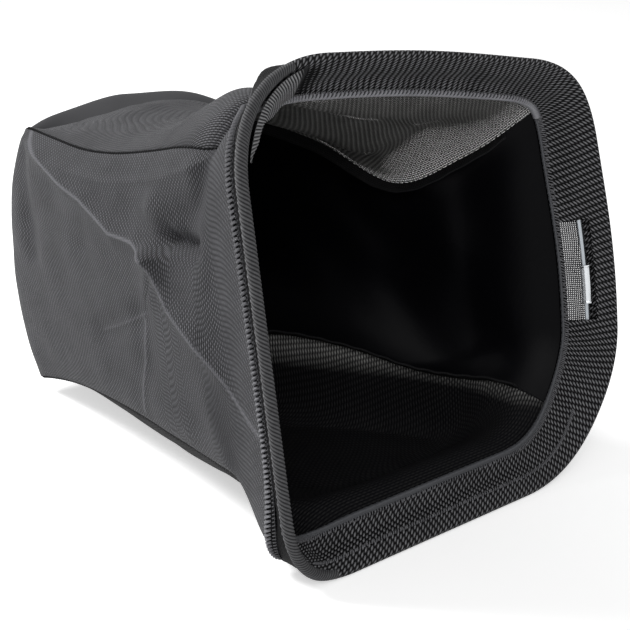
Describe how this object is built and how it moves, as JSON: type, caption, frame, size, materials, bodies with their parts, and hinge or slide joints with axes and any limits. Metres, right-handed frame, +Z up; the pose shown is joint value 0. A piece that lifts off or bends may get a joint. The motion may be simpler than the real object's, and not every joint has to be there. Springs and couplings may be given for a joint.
{
  "type": "mower grass bag",
  "caption": "Wedge-shaped cloth grass catcher bag for a walk-behind mower: mesh side wall and gussets, smooth coated wall, and a wide mouth held open by a sewn-in wire frame.",
  "frame": {"origin": "on the ground, under the middle of the bag's bounding box", "axes": "+Z up with the bag lying on its lower side, +Y from the mouth to the closed end, -X the side of the flat mesh wall"},
  "size_m": [0.3812, 0.503, 0.3766],
  "materials": {
    "mesh_cloth": "open woven mesh",
    "coated_cloth": "smooth coated cloth",
    "casing_cloth": "doubled open woven mesh",
    "seam_tape": "folded seam allowance",
    "thread": "sewing thread",
    "wire": "zinc plated"
  },
  "bodies": {
    "root": {"near_wall": "mesh_cloth", "upper_gusset": "mesh_cloth", "lower_gusset": "mesh_cloth", "coated_wall": "coated_cloth", "rim_casing": "casing_cloth", "mouth_wire": "wire", "ferrule": "wire", "near_top_seam": "seam_tape", "near_bottom_seam": "seam_tape", "far_top_seam": "seam_tape", "far_bottom_seam": "seam_tape", "end_seam": "seam_tape", "hem_stitch": "thread", "rim_zigzag_stitch": "thread"}
  },
  "joints": []
}
